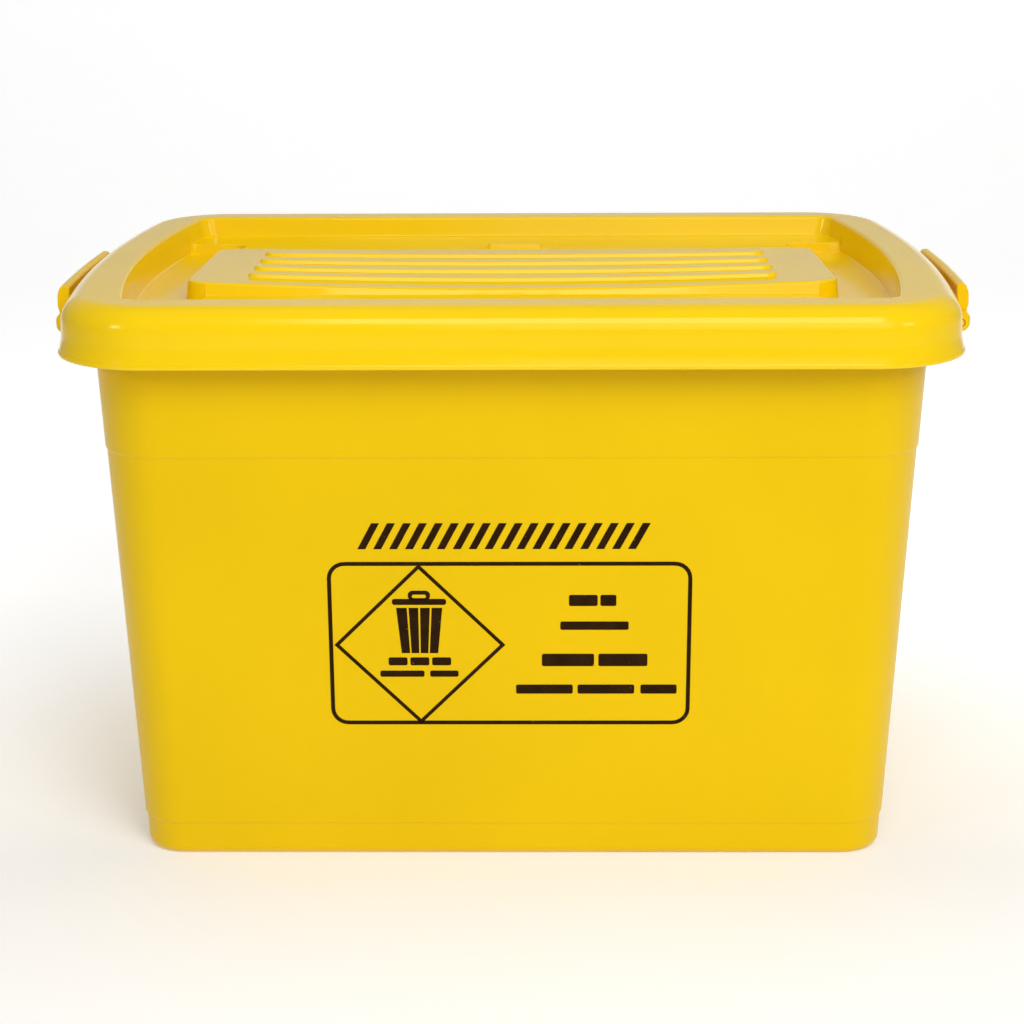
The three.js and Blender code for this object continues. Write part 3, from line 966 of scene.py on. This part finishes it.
def studio_white():
    """Matt white paper that glows a little near the floor, more so behind the box."""
    n = Nodes("studio_white")
    tone = n.mix(n.noise(0.7, 2.0), (0.86, 0.86, 0.86), (0.9, 0.9, 0.9))
    n.link(tone, n.shader.inputs["Base Color"])
    n.shader.inputs["Roughness"].default_value = 0.9
    n.shader.inputs["Specular IOR Level"].default_value = 0.0
    split = n.add("ShaderNodeSeparateXYZ")
    n.link(n.place, split.inputs["Vector"])
    low = n.spread(split.outputs["Z"], 0.4, 0.7, 1.0, 0.0)
    far = n.spread(split.outputs["Y"], -0.2, 0.4, 0.18, 0.50)
    middle = n.spread(n.math("ABSOLUTE", split.outputs["X"], 0.0), 1.2, 2.0, 1.0, 0.0)
    n.shader.inputs["Emission Color"].default_value = (1, 1, 1, 1)
    glow = n.math("MULTIPLY", low, n.math("MULTIPLY", far, middle))
    n.link(glow, n.shader.inputs["Emission Strength"])
    return n.material


# ---- stage, lights and camera -------------------------------------------------------------
BOX_MIDDLE = (0, 0, 0.3)
LAMP_DISTANCE = 2.9


def make_stage():
    """A pale floor that sweeps up into the backdrop well behind the box."""
    half_width = 5000.0
    front, back, rise, sweep = -5000.0, 3200.0, 3500.0, 1200.0
    profile = [(front, 0.0), (-1500.0, 0.0), (0.0, 0.0), (1000.0, 0.0)]
    for a in arc(20):
        profile.append((back - sweep + sweep * math.sin(a), sweep * (1 - math.cos(a))))
    profile.append((back, rise))
    points, faces = [], []
    for y, z in profile:
        points += [(-half_width, y, z), (half_width, y, z)]
    for i in range(len(profile) - 1):
        faces.append((2 * i, 2 * i + 1, 2 * i + 3, 2 * i + 2))
    stage = as_object("studio_floor", [(points, faces)], studio_white(), angle=60)
    stage.modifiers.clear()


def softbox(name, location, aim, width, height, radiance):
    """A rectangular softbox in metres; its power follows from its area and radiance."""
    light = bpy.data.lights.new(name, "AREA")
    light.shape = "RECTANGLE"
    light.size, light.size_y = width, height
    light.energy = radiance * math.pi * width * height
    lamp = bpy.data.objects.new(name, light)
    lamp.location = location
    lamp.rotation_euler = (Vector(aim) - Vector(location)).to_track_quat("-Z", "Y").to_euler()
    bpy.context.scene.collection.objects.link(lamp)
    return lamp


def around(azimuth, elevation):
    """A lamp's place round the box's middle, the azimuth counted to the right from the front."""
    turn, lift = math.radians(azimuth), math.radians(elevation)
    level = LAMP_DISTANCE * math.cos(lift)
    height = BOX_MIDDLE[2] + LAMP_DISTANCE * math.sin(lift)
    return (level * math.sin(turn), -level * math.cos(turn), height)


def make_lights():
    """Softboxes and a dim surround; two of the boxes leave no reflection on the plastic."""
    top = RIM * MM
    softbox("left_box", around(-47, 19), BOX_MIDDLE, 0.45, 0.5, 7.5)
    softbox("right_box", around(50, 20), BOX_MIDDLE, 0.6, 0.5, 3.5)
    softbox("front_box", around(14, 24), BOX_MIDDLE, 1.6, 1.2, 1.2)
    main = softbox("main_box", around(28, 34), BOX_MIDDLE, 1.6, 1.2, 4.2)
    main.visible_glossy = False
    softbox("high_box", (0.2, -1.48, top + 1.53), (0.1, -0.19, top), 1.1, 0.85, 3.6)
    fill = softbox("overhead_box", (0, 0.3, 3.0), BOX_MIDDLE, 2.0, 1.6, 1.75)
    fill.visible_glossy = False
    world = bpy.data.worlds.new("studio_air")
    world.use_nodes = True
    world.node_tree.nodes["Background"].inputs["Color"].default_value = (1, 1, 1, 1)
    world.node_tree.nodes["Background"].inputs["Strength"].default_value = 0.25
    bpy.context.scene.world = world


def make_camera():
    """The photograph's view, from the front and a little above the lid."""
    data = bpy.data.cameras.new("camera")
    data.sensor_width = 36.0
    data.lens = 76.67
    camera = bpy.data.objects.new("camera", data)
    camera.location = (0.0183, -1.4745, RIM * MM + 0.2414)
    camera.rotation_mode = "XYZ"
    pitch, roll, turn = 0.2804, 0.0048, 0.0121
    camera.rotation_euler = (math.pi / 2 - pitch, roll, turn)
    bpy.context.scene.collection.objects.link(camera)
    bpy.context.scene.camera = camera
    bpy.context.scene.view_settings.view_transform = "Standard"


# ---- assembly -----------------------------------------------------------------------------
def place(piece, body, slot, *nodes):
    """Lets the piece ride on its body and hides the CAD nodes it stands for; slot is not used."""
    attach(piece, body)
    if nodes:
        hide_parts(*nodes)


make_camera()
make_lights()
make_stage()

place(make_tub(plastic("tub_plastic", 0.36, 0.10, 0.05)), "tub", "tub", "tub")
place(make_lid(plastic("lid_plastic", 0.13, 0.03, 0.02, LID_YELLOW, 0.6)), "lid", "lid", "lid")
latch_plastic = plastic("latch_plastic", 0.28, 0.08, 0.04, LATCH_YELLOW)
place(make_latch("latch_bar_left", -1, latch_plastic), "latch_left", "latch", "latch_left")
place(make_latch("latch_bar_right", 1, latch_plastic), "latch_right", "latch", "latch_right")
place(make_print(printed_ink("black_ink")), "tub", "tub")
